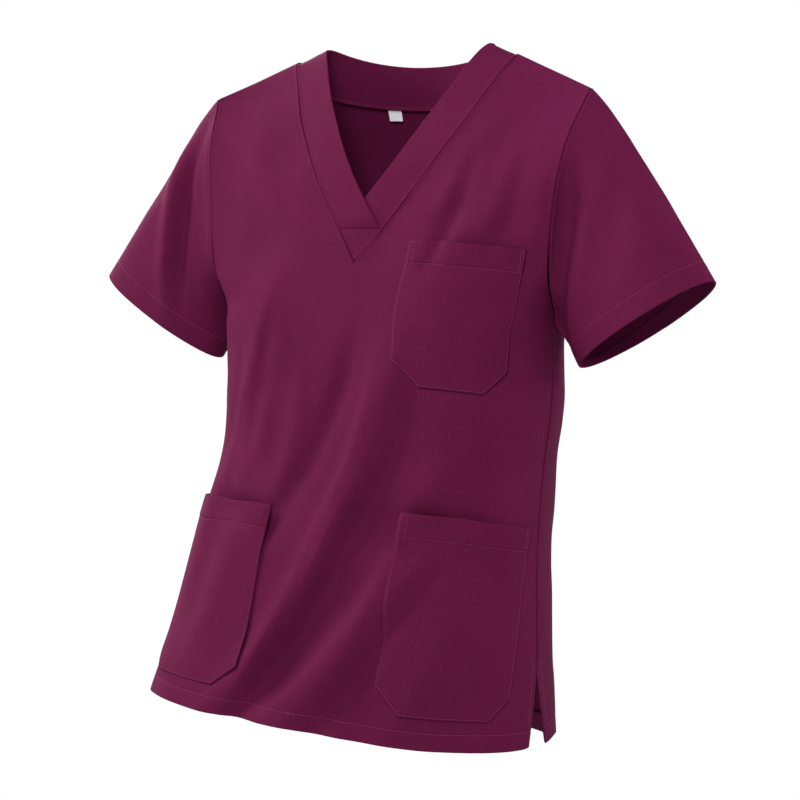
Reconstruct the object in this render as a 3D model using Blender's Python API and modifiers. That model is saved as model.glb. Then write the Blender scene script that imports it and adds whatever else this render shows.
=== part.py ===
"""A short-sleeved V-neck scrub top, filled out as if worn, with nobody in it.

Each cut piece of cloth is one open sheet with Solidify: front, back, two sleeves, three lengths of
neckband, three patch pockets and a size label. +X is the wearer's left, -Y the front and +Z up. The
origin is on the midline at the height where the neckband meets the shoulders.
"""
import math

import bmesh
import bpy
import numpy as np

# ------------------------------------------------------------------ cloth
WALL = 0.0012            # twill, a little thicker than real
GAP = 0.0003             # between neighbouring pieces
SIDE_GAP = 0.00045       # between the two panels down the side seams
LIFT = WALL + 0.0005     # from a panel's middle to that of a piece lying on it
RIM = 0.0004             # extra at seams where two walls meet at an angle

# ------------------------------------------------------------------ body
HEM_Z = -0.674
VENT_Z = -0.596          # top of both side vents
PIT_Z = -0.275           # underarm
V_Z = -0.223             # tip of the V seam
LEVEL_Z = -0.120         # rows are level up to here and fan out above
NECK_HALF = 0.0945       # neckband's inner edge on the shoulder
SEAM_HALF = 0.127        # neck seam on the shoulder
SEAM_TOP_Z = -0.0155
TIP_HALF = 0.2135        # shoulder tip
TIP_Y = -0.020
SLOPE = 0.441            # fall of the shoulder line
SOFT = 0.030             # rounds the shoulder line's extension over the midline
ROUND = 0.88             # how boxy the body's rings are
FLAT = 2.6               # how flat the chest is across, above the underarm
BOW_FROM, BOW_TO = PIT_Z - 0.010, PIT_Z + 0.070         # where the rings turn into that flat bow
# How far each vent's edges part at the hem: its front edge forwards and in, its back edge out and back
VENT_FRONT, VENT_IN, VENT_OUT, VENT_BACK = 0.008, 0.004, 0.004, 0.012
VENT_NARROW = 8          # how close to the side seam that parting stays
VENT_POWER = 1.25        # how it grows downwards

# One row per ring: name, z, half width, depth in front, depth behind, sway to the left, sway back
RINGS = [
    ("hem", -0.674, 0.2210, 0.0900, 0.1600, -0.0250, -0.0225),
    ("hip", -0.590, 0.2060, 0.0845, 0.1462, -0.0172, -0.0175),
    ("low", -0.500, 0.1925, 0.0800, 0.1338, -0.0130, -0.0100),
    ("waist", -0.415, 0.1820, 0.0745, 0.1265, -0.0040, -0.0045),
    ("rib", -0.345, 0.1840, 0.0765, 0.1190, -0.0025, -0.0015),
    ("pit", -0.275, 0.186, 0.078, 0.110, -0.007, 0.000),
    ("chest", -0.200, 0.190, 0.077, 0.108, -0.002, 0.000),
    ("top", -0.110, 0.190, 0.077, 0.108, 0.000, 0.000),
]
# One row per height of the armhole: name, z, front x, front y, back x, back y
ARMHOLE = [
    ("pit", -0.275, 0.186, 0.000, 0.186, 0.000),
    ("low", -0.235, 0.191, -0.032, 0.185, 0.042),
    ("mid", -0.165, 0.196, -0.048, 0.184, 0.062),
    ("high", -0.105, 0.2035, -0.044, 0.195, 0.052),
    ("tip", -0.0527, TIP_HALF, TIP_Y, TIP_HALF, TIP_Y),
]
PIT_SLOPE = 0.048        # of the half width at the underarm
# How y falls off from the underarm to the shoulder's ridge, in front and behind
RISE_FRONT, RISE_BACK = (1.7, 1.35), (2.0, 1.2)
# How the hem hangs off level: name, u, in front, behind. It starts at HEM_LINE_Z
HEM_LINE = [
    ("right", -1.00, 0.0078, 0.0075), ("right_face", -0.67, 0.0070, 0.0040), ("inner", -0.30, 0.0026, 0.0),
    ("mid", -0.03, 0.0, 0.0), ("left_inner", 0.17, -0.0038, -0.0020), ("left_low", 0.36, -0.0056, -0.0030),
    ("left_face", 0.65, -0.0030, -0.0010), ("left_side", 0.84, -0.0008, 0.0082), ("left", 1.00, 0.0006, 0.0040),
]
HEM_LINE_Z = -0.600

FOLD_FADE = 0.35         # share of a fold's length over which it rises
HEM_FROM, HEM_CALM = 0.80, 0.55   # where a fold that reaches the hem grows lower, and by how much
# Drape folds. One row each: name, face, top x, z, middle x, z, low x, z, half width, height (+ stands out)
FOLDS = [
    ("drag_a", "front", 0.057, -0.240, -0.004, -0.524, -0.105, -0.674, 0.020, 0.0093),
    ("drag_b", "front", 0.105, -0.354, 0.085, -0.531, -0.012, -0.674, 0.027, 0.0117),
    ("waist_r", "front", -0.111, -0.199, -0.107, -0.313, -0.151, -0.401, 0.030, 0.0090),
    ("waist_l", "front", 0.177, -0.379, 0.119, -0.462, 0.075, -0.549, 0.028, -0.0100),
    ("arm_l", "front", 0.176, -0.051, 0.150, -0.147, 0.110, -0.232, 0.016, 0.0075),
    ("side_r", "front", -0.114, -0.334, -0.119, -0.384, -0.129, -0.494, 0.015, 0.0040),
    ("pocket_r", "front", -0.172, -0.411, -0.118, -0.478, -0.091, -0.501, 0.020, -0.0064),
    ("sleeve_l", "front", 0.198, -0.068, 0.192, -0.139, 0.179, -0.232, 0.016, 0.0072),
    ("arm_r", "front", -0.169, -0.050, -0.116, -0.160, -0.095, -0.205, 0.022, 0.0080),
    ("bust_l", "front", 0.159, -0.225, 0.148, -0.381, 0.165, -0.478, 0.020, 0.0091),
    ("hem_r", "front", -0.113, -0.456, -0.123, -0.557, -0.164, -0.657, 0.018, 0.0042),
    ("neck_l", "front", 0.086, -0.101, 0.061, -0.137, 0.022, -0.244, 0.028, -0.0060),
    ("flank_l", "front", 0.195, -0.068, 0.199, -0.190, 0.159, -0.307, 0.018, 0.0084),
    ("drag_c", "front", 0.050, -0.278, 0.023, -0.400, -0.008, -0.553, 0.016, 0.0072),
    ("valley", "front", 0.055, -0.498, -0.016, -0.619, -0.062, -0.674, 0.022, -0.0081),
    ("drag_r", "front", -0.083, -0.383, -0.106, -0.558, -0.136, -0.674, 0.030, 0.0035),
    ("under_bust", "front", 0.105, -0.222, 0.114, -0.329, 0.115, -0.413, 0.029, 0.0084),
    ("back_mid", "back", 0.020, -0.330, 0.005, -0.480, -0.030, -0.674, 0.024, 0.0090),
    ("back_l", "back", 0.110, -0.300, 0.095, -0.470, 0.075, -0.674, 0.022, 0.0075),
    ("back_r", "back", -0.100, -0.310, -0.105, -0.480, -0.135, -0.674, 0.022, 0.0080),
    ("blade_l", "back", 0.135, -0.130, 0.118, -0.220, 0.090, -0.330, 0.018, -0.0040),
    ("blade_r", "back", -0.135, -0.130, -0.120, -0.220, -0.095, -0.330, 0.018, -0.0040),
]

# ------------------------------------------------------------------ neck
# The seam between panel and band: name, z, x
NECK_SEAM = [
    ("tip", V_Z, 0.0), ("low", -0.1915, 0.0225), ("mid", -0.136, 0.060), ("high", -0.079, 0.0955),
    ("turn", -0.048, 0.1105), ("shoulder", SEAM_TOP_Z, SEAM_HALF),
]
# The band's free edge, past the midline below the crossing: name, z, x
NECK_EDGE = [
    ("end", -0.1895, -0.0205), ("cross", -0.161, 0.0), ("low", -0.119, 0.029), ("mid", -0.082, 0.051),
    ("high", -0.045, 0.0715), ("turn", -0.019, 0.084), ("shoulder", 0.0, NECK_HALF),
]
BAND_END_Z = -0.1905     # level lower end of the band that lies on top
OVER_FROM, OVER_TO = -0.105, -0.150   # where it climbs onto the other band
BACK_SEAM_Z = -0.055     # back neck seam on the midline
BACK_SEAM_BOX = 0.45     # how square the back neck seam's U is
BACK_EDGE_Z = -0.016     # back band's upper edge on the midline
BACK_EDGE_Y = 0.044
BACK_EDGE_DIP, BACK_EDGE_SWEEP = 1.5, 0.8         # how that edge falls and sweeps back between

# ------------------------------------------------------------------ sleeves
CUFF_TOP = np.array([0.346, -0.014, -0.2345])     # the hem's upper and lower corners
CUFF_UNDER = np.array([0.2115, 0.003, -0.317])
CUFF_FRONT, CUFF_BACK = 0.040, 0.042              # how far it bows out in front and behind
ARM = np.array([0.545, 0.0, -0.838])              # the way a sleeve points
# Which way the sleeve leaves the armhole: over the shoulder, under the arm, in front and behind
LEAVE_TOP = np.array([0.915, 0.0, -0.404])
LEAVE_UNDER = np.array([0.55, 0.0, -0.835])
LEAVE_FRONT = np.array([0.70, 0.60, -0.37])
LEAVE_BACK = np.array([0.85, -0.35, -0.40])
# How strongly it keeps that way, and how much less over the shoulder
PULL, PULL_TOP = 0.75, 0.52
SLEEVE_ROWS = 9
PIT_OUT = np.array([WALL, 0.0, 0.0])              # under the arm it starts on the body's outside
PIT_NEAR = 1.5                                    # how soon that sets in round the armhole

# ------------------------------------------------------------------ grid of the panels
# Columns of half a front: to a pocket's inner side, across the pocket, to the side seam
COLS_IN, COLS_CORNER, COLS_ACROSS, COLS_OUT = 4, 2, 5, 3
COLS_BACK = 11
COLS_BACK_NECK = 6       # of them, those that end in the back neck seam
FAN_ROWS, FAN_CROWD = 6, 1.5   # rows above them, and how they crowd towards the ridge
# Rows of the front below LEVEL_Z, bottom up: name, z at its top on the midline, rows in it
BANDS = [
    ("hem", -0.6468, 2), ("corner", -0.6218, 2), ("pocket", -0.4611, 9), ("waist", -0.3401, 7),
    ("chest_corner", -0.3151, 2), ("to_pit", PIT_Z, 3), ("to_v", V_Z, 3), ("pocket_top", -0.2014, 1),
    ("to_level", LEVEL_Z, 5),
]
# A patch pocket: name, side, its lowest band of rows, its highest band
POCKETS = [
    ("pocket_chest", 1, "chest_corner", "pocket_top"),
    ("pocket_left", 1, "corner", "pocket"),
    ("pocket_right", -1, "corner", "pocket"),
]
# Where the pockets' sides run on each half of the front: name, row's z, inner u, outer u, and how far
# the row drops from that z at the inner and outer side
POCKET_SIDES = {
    1: [
        ("hem", HEM_Z, 0.214, 0.756, 0.0, 0.0),
        ("lower_foot", -0.6468, 0.214, 0.756, 0.0, 0.0019), ("lower_top", -0.4611, 0.248, 0.897, 0.0, 0.0090),
        ("chest_foot", -0.3401, 0.159, 0.638, 0.0, 0.0063), ("chest_top", -0.2014, 0.162, 0.696, 0.0, 0.0056),
        ("level", LEVEL_Z, 0.162, 0.696, 0.0, 0.0),
    ],
    -1: [
        ("hem", HEM_Z, 0.182, 0.790, 0.0, 0.0),
        ("lower_foot", -0.6468, 0.182, 0.790, 0.0, 0.0), ("lower_top", -0.4611, 0.207, 0.928, 0.0034, 0.0025),
        ("above", -0.3401, 0.159, 0.638, 0.0, 0.0), ("level", LEVEL_Z, 0.162, 0.696, 0.0, 0.0),
    ],
}
CORNER = 0.023           # chamfer at a pocket's foot
LABEL = (0.014, 0.010)   # width and height
LABEL_X = -0.044

CLOTH = (0.115, 0.0122, 0.0545, 1.0)
LABEL_WHITE = (0.58, 0.55, 0.57, 1.0)


# ================================================================== the form as functions
def column(table, k):
    return [row[k] for row in table]


def smooth(x, xs, ys, start=None):
    """Cubic interpolation through a table's column, with the slope at its start where given."""
    xs, ys = np.asarray(xs, float), np.asarray(ys, float)
    slope = np.gradient(ys, xs)
    if start is not None:
        slope[0] = start
    i = np.clip(np.searchsorted(xs, x) - 1, 0, len(xs) - 2)
    h = xs[i + 1] - xs[i]
    t = np.clip((np.asarray(x, float) - xs[i]) / h, 0, 1)
    return ((1 + 2 * t) * (1 - t) ** 2 * ys[i] + t * (1 - t) ** 2 * h * slope[i]
            + t * t * (3 - 2 * t) * ys[i + 1] + t * t * (t - 1) * h * slope[i + 1])


def ease(x, a, b):
    """0 at a, 1 at b, smooth between."""
    t = np.clip((x - a) / (b - a), 0, 1)
    return t * t * (3 - 2 * t)


def ridge(x):
    """Height of the shoulder line."""
    return -SLOPE * (np.sqrt(x * x + SOFT ** 2) - math.hypot(NECK_HALF, SOFT))


def half_width(z, front):
    """Half the panel's width: to the side seam, and above the underarm to the armhole."""
    low = smooth(z, column(RINGS, 1), column(RINGS, 2))
    high = smooth(z, column(ARMHOLE, 1), column(ARMHOLE, 2 if front else 4), PIT_SLOPE)
    return np.where(z < PIT_Z, low, high)


def side_y(z, front):
    high = smooth(z, column(ARMHOLE, 1), column(ARMHOLE, 3 if front else 5), 0.0)
    return np.where(z < PIT_Z, 0, high)


def fold(x, z, front):
    """How far the drape folds stand out at a place."""
    out = 0.0
    for _, face, x0, z0, x1, z1, x2, z2, wide, high in FOLDS:
        if (face == "front") != front:
            continue
        t = np.clip((z - z0) / (z2 - z0), 0, 1)
        mid = (z1 - z0) / (z2 - z0)
        line = (x0 * (t - mid) * (t - 1) / mid + x1 * t * (t - 1) / (mid * (mid - 1))
                + x2 * t * (t - mid) / (1 - mid))
        low = 1 - HEM_CALM * ease(t, HEM_FROM, 1) if z2 <= HEM_Z else 1 - ease(t, 1 - FOLD_FADE, 1)
        out = out + high * ease(t, 0, FOLD_FADE) * low * np.exp(-((x - line) / wide) ** 2)
    return out


def body(u, z, front):
    """A point of the body: u runs -1..1 from side to side and z up."""
    u, z = np.broadcast_arrays(np.asarray(u, float), np.asarray(z, float))
    angle = np.abs(u) * math.pi / 2
    across = np.sin(angle) ** ROUND
    x = np.sign(u) * across * half_width(z, front)
    ring = np.maximum(np.cos(angle), 0) ** ROUND
    bow = ring + (1 - across ** FLAT - ring) * ease(z, BOW_FROM, BOW_TO)
    depth = smooth(z, column(RINGS, 1), column(RINGS, 3 if front else 4))
    t = np.clip((z - PIT_Z) / (ridge(x) - PIT_Z), 0, 1)
    m, k = RISE_FRONT if front else RISE_BACK
    rise = (1 - t ** m) ** (1 / k)
    out = -1 if front else 1
    y = side_y(z, front) * (1 - bow) + out * (depth + fold(x, z, front)) * bow * rise
    x = x + smooth(z, column(RINGS, 1), column(RINGS, 5))
    y = y + smooth(z, column(RINGS, 1), column(RINGS, 6))
    share = (VENT_Z - np.minimum(z, VENT_Z)) / (VENT_Z - HEM_Z)
    part = share ** VENT_POWER * np.abs(u) ** VENT_NARROW
    x = x + np.sign(u) * part * (-VENT_IN if front else VENT_OUT)
    y = y + part * (-VENT_FRONT if front else VENT_BACK)
    hang = smooth(u, column(HEM_LINE, 1), column(HEM_LINE, 2 if front else 3))
    return np.stack([x, y, z + hang * ease(z, HEM_LINE_Z, HEM_Z)], -1)


def u_at(x, z, front):
    """The u of a place given by its x before sway."""
    across = np.clip(np.abs(x) / half_width(z, front), 0, 1)
    return np.sign(x) * np.arcsin(across ** (1 / ROUND)) / (math.pi / 2)


def normals(u, z, front):
    """Outward normals of the body."""
    d = 1e-4
    du = body(u + d, z, front) - body(u - d, z, front)
    dz = body(u, z + d, front) - body(u, z - d, front)
    n = np.cross(du, dz)
    n = n / np.maximum(np.linalg.norm(n, axis=-1, keepdims=True), 1e-12)
    return n if front else -n


# ================================================================== grids
def neck_seam_x(z):
    return smooth(z, column(NECK_SEAM, 1), column(NECK_SEAM, 2))


def row_heights():
    """Heights of the front's level rows, and where each band of rows starts."""
    heights, starts = [HEM_Z], {}
    for name, top, count in BANDS:
        starts[name] = len(heights) - 1
        low = heights[-1]
        heights += [low + (top - low) * k / count for k in range(1, count + 1)]
    return np.array(heights), starts


def front_columns(z, side):
    """The u of each column of half a front on a row, and how far each drops below the row's z."""
    table = POCKET_SIDES[side]
    inner, outer, drop_in, drop_out = (np.interp(z, column(table, 1), column(table, k)) for k in range(2, 6))
    start = float(u_at(neck_seam_x(z), z, True)) if z > V_Z else 0.0
    # above the chest pocket the columns spread evenly from the neck seam
    free = float(ease(z, BANDS[-2][1], LEVEL_Z))
    pocket_cols = 2 * COLS_CORNER + COLS_ACROSS
    total = COLS_IN + pocket_cols + COLS_OUT
    inner += (start + (1 - start) * COLS_IN / total - inner) * free
    outer += (start + (1 - start) * (COLS_IN + pocket_cols) / total - outer) * free
    wide = float(np.linalg.norm(body(outer, z, True) - body(inner, z, True)))
    share = CORNER / wide
    share += (COLS_CORNER / pocket_cols - share) * free
    corner = (outer - inner) * share
    u = np.concatenate([
        np.linspace(start, inner, COLS_IN + 1),
        np.linspace(inner, inner + corner, COLS_CORNER + 1)[1:],
        np.linspace(inner + corner, outer - corner, COLS_ACROSS + 1)[1:],
        np.linspace(outer - corner, outer, COLS_CORNER + 1)[1:],
        np.linspace(outer, 1, COLS_OUT + 1)[1:],
    ])
    return u, np.interp(u, [0, inner, outer, 1], [0, drop_in, drop_out, 0])


def fan(u_rows, z_rows, u_level, u_top, z_top, u_first):
    """Adds the rows from the last level row to the top edge, closer together near the ridge."""
    for k in range(1, FAN_ROWS + 1):
        q = 1 - (1 - k / FAN_ROWS) ** FAN_CROWD
        z = LEVEL_Z + (z_top - LEVEL_Z) * q
        u = u_level + (u_top - u_level) * q
        if u_first is not None:
            first = u_first(z[0])
            share = (u_level - u_level[0]) / (1 - u_level[0])
            u = first + (1 - first) * share
        u_rows.append(u)
        z_rows.append(z)


def ridge_top(u):
    """Height of the ridge over each u."""
    return ridge(np.sin(np.abs(u) * math.pi / 2) ** ROUND * TIP_HALF)


def front_grid(side):
    """u and z of half a front, rows from the hem up and columns outwards."""
    heights, starts = row_heights()
    rows = [front_columns(z, side) for z in heights]
    u_rows = [u for u, _ in rows]
    z_rows = [z - drop for z, (_, drop) in zip(heights, rows)]
    u_level = u_rows[-1]
    top = float(u_at(SEAM_HALF, SEAM_TOP_Z, True))
    share = (u_level - u_level[0]) / (1 - u_level[0])
    u_top = top + (1 - top) * share
    fan(u_rows, z_rows, u_level, u_top, ridge_top(u_top),
        lambda z: float(u_at(neck_seam_x(z), z, True)))
    return np.array(u_rows), np.array(z_rows), starts


def back_neck(share):
    """The back neck seam from the midline (0) to the shoulder (1): x and z."""
    angle = np.asarray(share) * math.pi / 2
    x = SEAM_HALF * np.sin(angle)
    low = np.maximum(np.cos(angle), 0) ** BACK_SEAM_BOX
    return x, SEAM_TOP_Z + (BACK_SEAM_Z - SEAM_TOP_Z) * low


def back_grid():
    """u and z of half a back, rows from the hem up and columns outwards."""
    heights, _ = row_heights()
    even = np.linspace(0, 1, COLS_BACK + 1)
    x, z = back_neck(even[:COLS_BACK_NECK + 1] / even[COLS_BACK_NECK])
    start = float(u_at(SEAM_HALF, SEAM_TOP_Z, False))
    over = start + (1 - start) * np.linspace(0, 1, COLS_BACK - COLS_BACK_NECK + 1)[1:]
    u_top = np.concatenate([u_at(x, z, False), over])
    z_top = np.concatenate([z, ridge_top(over)])
    u_rows = [even.copy() for _ in heights]
    z_rows = [np.full(COLS_BACK + 1, h) for h in heights]
    fan(u_rows, z_rows, even, u_top, z_top, None)
    return np.array(u_rows), np.array(z_rows)


def pull_in(points, rows=(), cols=(), by=0.0):
    """Moves a grid's border rows or columns towards their neighbours by a distance."""
    for r, inner in rows:
        step = points[inner] - points[r]
        points[r] += step / np.maximum(np.linalg.norm(step, axis=-1, keepdims=True), 1e-9) * by
    for c, inner in cols:
        step = points[:, inner] - points[:, c]
        points[:, c] += step / np.maximum(np.linalg.norm(step, axis=-1, keepdims=True), 1e-9) * by
    return points


def part_shoulder(points, toward):
    """Moves a panel's top row off the ridge, in y, so that the two walls stay a gap apart."""
    step = points[-2] - points[-1]
    steep = np.abs(step[:, 2]) / np.linalg.norm(step, axis=1)
    points[-1, :, 1] += toward * (GAP / 2 + WALL / 2 * steep)
    return points


# ================================================================== Blender helpers
def clear_scene():
    for thing in list(bpy.data.objects):
        bpy.data.objects.remove(thing, do_unlink=True)


def material(name, colour, roughness):
    made = bpy.data.materials.new(name)
    made.use_nodes = True
    shader = made.node_tree.nodes["Principled BSDF"]
    shader.inputs["Base Color"].default_value = colour
    shader.inputs["Roughness"].default_value = roughness
    shader.inputs["Metallic"].default_value = 0.0
    return made


def cells(grid, closed=False):
    """The quads of a grid of points."""
    rows, cols = grid.shape[:2]
    faces = []
    for r in range(rows - 1):
        for c in range(cols if closed else cols - 1):
            d = (c + 1) % cols
            faces.append([grid[r, c], grid[r, d], grid[r + 1, d], grid[r + 1, c]])
    return faces


def sheet(name, faces, finish, collection):
    """One object: faces given by their points, welded where they meet, then thickened."""
    mesh = bmesh.new()
    for face in faces:
        mesh.faces.new([mesh.verts.new(point) for point in face])
    bmesh.ops.remove_doubles(mesh, verts=mesh.verts, dist=1e-6)
    bmesh.ops.recalc_face_normals(mesh, faces=mesh.faces)
    data = bpy.data.meshes.new(name)
    mesh.to_mesh(data)
    mesh.free()
    data.shade_smooth()
    data.materials.append(finish)
    made = bpy.data.objects.new(name, data)
    collection.objects.link(made)
    thick = made.modifiers.new("thickness", "SOLIDIFY")
    thick.thickness = WALL
    thick.offset = 0.0
    thick.use_even_offset = True


# ================================================================== the pieces
def mirrored(u, side):
    return u if side > 0 else -u


def front_points(side):
    u, z, _ = front_grid(side)
    return body(mirrored(u, side), z, True)


def back_points(side):
    u, z = back_grid()
    return body(mirrored(u, side), z, False)


def build_panel(name, points_of, toward, finish, collection):
    """Both halves of the front or the back, which meet on the midline."""
    faces = []
    for side in (1, -1):
        points = points_of(side)
        part_shoulder(points, toward)
        pull_in(points, cols=[(-1, -2)], by=SIDE_GAP / 2)
        faces += cells(points)
    sheet(name, faces, finish, collection)


def armhole_loop(side):
    """The armhole: points from the shoulder down the front, and up the back, and their angles."""
    front, back = front_points(side)[:, -1], back_points(side)[:, -1]
    pit = int(np.argmin(np.abs(front[:, 2] - PIT_Z)))
    down, up = front[pit:][::-1], back[pit:]
    loop, angles = [], []
    for run, first in ((down, 0.0), (up, math.pi)):
        far = np.concatenate([[0], np.cumsum(np.linalg.norm(np.diff(run, axis=0), axis=1))])
        for point, share in list(zip(run, far / far[-1]))[:-1]:
            loop.append(point)
            angles.append(first + math.pi * share)
    return np.array(loop), np.array(angles)


def cuff_loop(angles, side):
    mid, half = (CUFF_TOP + CUFF_UNDER) / 2, (CUFF_TOP - CUFF_UNDER) / 2
    a = angles[:, None]
    bow = np.where(a <= math.pi, CUFF_FRONT, CUFF_BACK)
    loop = mid + half * np.cos(a) - np.array([0, 1.0, 0]) * bow * np.sin(a)
    return loop * np.array([side, 1, 1])


def sleeve_points(side):
    start, angles = armhole_loop(side)
    end = cuff_loop(angles, side)
    flip = np.array([side, 1, 1])
    up, fore = np.cos(angles)[:, None], np.sin(angles)[:, None]
    leave = (np.where(up > 0, LEAVE_TOP, LEAVE_UNDER) * up ** 2
             + np.where(fore > 0, LEAVE_FRONT, LEAVE_BACK) * fore ** 2)
    leave = leave / np.linalg.norm(leave, axis=1, keepdims=True) * flip
    length = np.linalg.norm(end - start, axis=1, keepdims=True)
    pull = PULL - PULL_TOP * np.maximum(up, 0) ** 2
    start = start + leave * (GAP + RIM) + flip * PIT_OUT * np.maximum(-up, 0) ** PIT_NEAR
    rows = []
    for s in np.linspace(0, 1, SLEEVE_ROWS):
        rows.append((1 + 2 * s) * (1 - s) ** 2 * start + s * (1 - s) ** 2 * leave * length * pull
                    + s * s * (3 - 2 * s) * end + s * s * (s - 1) * ARM * flip * length)
    return np.array(rows)


def build_sleeves(finish, collection):
    for name, side in (("sleeve_left", 1), ("sleeve_right", -1)):
        sheet(name, cells(sleeve_points(side), closed=True), finish, collection)


def band_edge(z, side):
    """The x of a front neckband's free edge at a height."""
    return side * smooth(z, column(NECK_EDGE, 1), column(NECK_EDGE, 2))


def on_body(x, z, front, lift=0.0):
    u = u_at(x, z, front)
    return body(u, z, front) + normals(u, z, front) * np.asarray(lift)[..., None]


def front_band_points(side, over):
    """Rows from the shoulder down; columns from the neck seam to the free edge."""
    _, z, _ = front_grid(side)
    seam_z = z[:, 0][z[:, 0] > V_Z - 1e-6][::-1]
    if over:
        seam_z = np.append(seam_z[seam_z > BAND_END_Z + 0.004], BAND_END_Z)
    seam_x = side * neck_seam_x(seam_z)
    share = np.linspace(0, 1, len(seam_z))
    if over:
        edge_z = share * NECK_EDGE[0][1]
        edge_x = band_edge(edge_z, side)
    else:
        # below the crossing the under band's edge follows the other side's seam to the tip
        low = seam_z < BAND_END_Z
        count = int(np.sum(~low))
        edge_z = np.concatenate([np.linspace(0, NECK_EDGE[0][1], count), seam_z[low]])
        edge_x = band_edge(edge_z, side)
        edge_x = np.where(low, -side * neck_seam_x(seam_z), edge_x)
    rows = []
    for k in np.linspace(0, 1, 4):
        x = seam_x + (edge_x - seam_x) * k
        zz = seam_z + (edge_z - seam_z) * k
        lift = LIFT * ease(zz, OVER_FROM, OVER_TO) if over else np.zeros(len(zz))
        rows.append(on_body(x, zz, True, lift))
    points = np.stack(rows, 1)
    pull_in(points, cols=[(0, 1)], by=GAP)
    if not over:
        tip = int(np.sum(seam_z >= BAND_END_Z))
        trim = points[tip:-1]
        pull_in(trim, cols=[(-1, -2)], by=GAP)
        points[-1] = points[-1] + np.array([0, 0, 2 * GAP])
    pull_in(points, rows=[(0, 1)], by=GAP / 2 + RIM)
    return points


def back_band_points():
    """Columns round the back neck; rows from the neck seam up to the free edge."""
    share = np.linspace(0, 1, COLS_BACK_NECK + 1)
    x, z = back_neck(share)
    angle = share * math.pi / 2
    seam = body(u_at(x, z, False), z, False)
    edge_x = NECK_HALF * np.sin(angle)
    edge_z = BACK_EDGE_Z * np.cos(angle) ** BACK_EDGE_DIP
    shoulder_y = TIP_Y * (NECK_HALF / TIP_HALF) ** FLAT
    edge_y = shoulder_y + (BACK_EDGE_Y - shoulder_y) * np.cos(angle) ** BACK_EDGE_SWEEP
    edge = np.stack([edge_x, edge_y, edge_z], -1)
    half = np.array([seam + (edge - seam) * k for k in np.linspace(0, 1, 4)])
    pull_in(half, rows=[(0, 1)], by=GAP / 2 + RIM)
    pull_in(half, cols=[(-1, -2)], by=GAP / 2 + RIM)
    other = half[:, ::-1] * np.array([-1, 1, 1])
    return np.concatenate([other[:, :-1], half], axis=1)


def build_neckband(finish, collection):
    sheet("neckband_right", cells(front_band_points(-1, True)), finish, collection)
    sheet("neckband_left", cells(front_band_points(1, False)), finish, collection)
    sheet("neckband_back", cells(back_band_points()), finish, collection)


def chamfered(points):
    """The cells of a pocket less its two lower corners, which are cut across."""
    rows, cols = points.shape[:2]
    faces = []
    for r in range(rows - 1):
        for c in range(cols - 1):
            ring = [points[r, c], points[r, c + 1], points[r + 1, c + 1], points[r + 1, c]]
            inner = c < cols / 2
            corner = r + (c if inner else cols - 2 - c)
            if corner == COLS_CORNER - 1:
                ring.pop(0 if inner else 1)
            if corner >= COLS_CORNER - 1:
                faces.append(ring)
    return faces


def build_pockets(finish, collection):
    """Each pocket repeats the front's own grid inside its outline, moved out."""
    names = column(BANDS, 0)
    inner, outer = COLS_IN, COLS_IN + 2 * COLS_CORNER + COLS_ACROSS
    for name, side, foot, top in POCKETS:
        u, z, starts = front_grid(side)
        rows = slice(starts[foot], starts[names[names.index(top) + 1]] + 1)
        part_u = mirrored(u[rows, inner:outer + 1], side)
        part_z = z[rows, inner:outer + 1]
        points = body(part_u, part_z, True) + normals(part_u, part_z, True) * LIFT
        sheet(name, chamfered(points), finish, collection)


def build_label(finish, collection):
    """A small woven label, caught in the back neck seam and hanging inside."""
    wide, high = LABEL
    x = LABEL_X + np.linspace(-wide / 2, wide / 2, 3)
    z = BACK_SEAM_Z - 0.001 - np.linspace(0, high, 3)
    inside = np.full(3, -LIFT - GAP)
    grid = np.array([on_body(x, np.full(3, h), False, inside) for h in z])
    sheet("size_label", cells(grid), finish, collection)


def main():
    clear_scene()
    collection = bpy.data.collections.new("scrub_top")
    bpy.context.scene.collection.children.link(collection)
    cloth = material("scrub_cloth", CLOTH, 0.85)
    white = material("label_cloth", LABEL_WHITE, 0.8)
    build_panel("front_panel", front_points, -1, cloth, collection)
    build_panel("back_panel", back_points, 1, cloth, collection)
    build_sleeves(cloth, collection)
    build_neckband(cloth, collection)
    build_pockets(cloth, collection)
    build_label(white, collection)


main()
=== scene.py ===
"""Looks for the scrub top: thin cloth with folds, turned hems, seams, stitches and twill."""
import math
from math import pi

import bmesh
import bpy
import numpy as np
from mathutils import Matrix, Vector


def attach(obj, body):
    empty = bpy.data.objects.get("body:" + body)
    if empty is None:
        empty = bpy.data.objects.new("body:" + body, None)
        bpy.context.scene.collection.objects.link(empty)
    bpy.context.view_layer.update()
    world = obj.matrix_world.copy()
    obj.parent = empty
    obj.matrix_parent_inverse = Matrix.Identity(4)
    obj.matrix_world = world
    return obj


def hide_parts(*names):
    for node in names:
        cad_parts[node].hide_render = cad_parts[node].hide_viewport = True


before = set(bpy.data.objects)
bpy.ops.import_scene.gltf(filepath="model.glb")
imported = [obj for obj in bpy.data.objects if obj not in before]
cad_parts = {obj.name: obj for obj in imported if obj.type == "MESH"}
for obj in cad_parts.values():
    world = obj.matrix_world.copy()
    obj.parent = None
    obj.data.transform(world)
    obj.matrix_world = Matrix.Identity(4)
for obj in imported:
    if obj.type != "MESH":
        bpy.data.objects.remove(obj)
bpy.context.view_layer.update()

# ---- the part's own form, in metres
GAP = 0.0003  # between two pieces at a seam
RIM = 0.0004  # more, where a sleeve or the back's band starts
HEM_Z, VENT_Z, PIT_Z, V_Z, LEVEL_Z = -0.674, -0.596, -0.275, -0.223, -0.120
NECK_HALF, SEAM_HALF, SEAM_TOP_Z = 0.0945, 0.127, -0.0155
TIP_HALF, TIP_Y = 0.2135, -0.020
SLOPE, SOFT, ROUND, FLAT = 0.441, 0.030, 0.88, 2.6
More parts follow.
